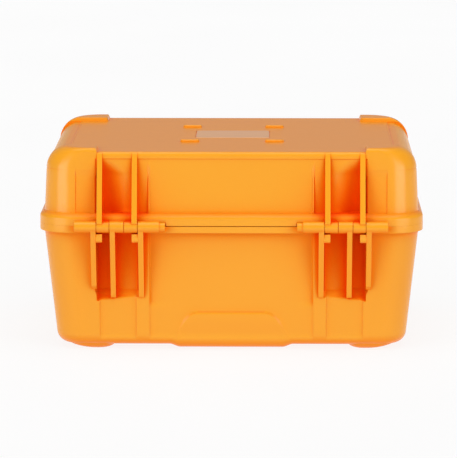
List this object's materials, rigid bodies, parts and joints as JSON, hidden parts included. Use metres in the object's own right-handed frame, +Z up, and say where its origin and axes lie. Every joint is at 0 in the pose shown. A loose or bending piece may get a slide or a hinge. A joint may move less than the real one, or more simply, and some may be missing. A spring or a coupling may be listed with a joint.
{
  "type": "hard equipment case",
  "caption": "Hard equipment case: tapered tub and a lid on rear pin hinges, with draw latches, a folding handle, a purge valve, padlock tabs and a sealed rim.",
  "frame": {"origin": "on the floor under the middle of the closed case", "axes": "+X along the case's width, +Y towards the hinges at the back, +Z up; the latches and the handle face -Y"},
  "size_m": [0.5, 0.416, 0.268],
  "materials": {
    "orange_plastic": "fine moulded grain with a soft sheen",
    "plate_plastic": "polished",
    "black_plastic": "fine moulded grain",
    "black_rubber": "matt",
    "steel": "satin"
  },
  "bodies": {
    "base": {"base_shell": "orange_plastic", "valve_body": "black_plastic", "valve_gasket": "black_rubber", "valve_nut": "black_plastic", "hinge_pin_left": "steel", "hinge_pin_right": "steel", "handle_pin_left": "steel", "handle_pin_right": "steel", "padlock_sleeve_base_left": "steel", "padlock_sleeve_base_right": "steel"},
    "lid": {"lid_shell": "orange_plastic", "name_plate": "plate_plastic", "lid_seal": "black_rubber", "latch_lid_pin_left": "steel", "latch_lid_pin_right": "steel", "padlock_sleeve_lid_left": "steel", "padlock_sleeve_lid_right": "steel"},
    "handle": {"handle_bail": "black_plastic", "handle_grip": "black_rubber"},
    "knob": {"valve_knob": "black_plastic"},
    "link_left": {"latch_link_left": "black_plastic", "latch_lever_pin_left": "steel"},
    "lever_left": {"latch_lever_left": "black_plastic"},
    "link_right": {"latch_link_right": "black_plastic", "latch_lever_pin_right": "steel"},
    "lever_right": {"latch_lever_right": "black_plastic"}
  },
  "joints": [
    {"name": "lid_hinge", "type": "hinge", "parent": "base", "child": "lid", "pos_m": [0, 0.2005, 0.16705], "axis": [-1, 0, 0], "range_deg": [0, 104]},
    {"name": "handle_hinge", "type": "hinge", "parent": "base", "child": "handle", "pos_m": [0, -0.2005, 0.148], "axis": [-1, 0, 0], "range_deg": [0, 165]},
    {"name": "valve_turn", "type": "hinge", "parent": "base", "child": "knob", "pos_m": [0, -0.196, 0.138], "axis": [0, -1, 0], "range_deg": [0, 270]},
    {"name": "link_left_hinge", "type": "hinge", "parent": "lid", "child": "link_left", "pos_m": [0.1477, -0.201, 0.197], "axis": [-1, 0, 0], "range_deg": [0, 90]},
    {"name": "lever_left_hinge", "type": "hinge", "parent": "link_left", "child": "lever_left", "pos_m": [0.1477, -0.2015, 0.158], "axis": [-1, 0, 0], "range_deg": [0, 75]},
    {"name": "link_right_hinge", "type": "hinge", "parent": "lid", "child": "link_right", "pos_m": [-0.1477, -0.201, 0.197], "axis": [-1, 0, 0], "range_deg": [0, 90]},
    {"name": "lever_right_hinge", "type": "hinge", "parent": "link_right", "child": "lever_right", "pos_m": [-0.1477, -0.2015, 0.158], "axis": [-1, 0, 0], "range_deg": [0, 75]}
  ]
}
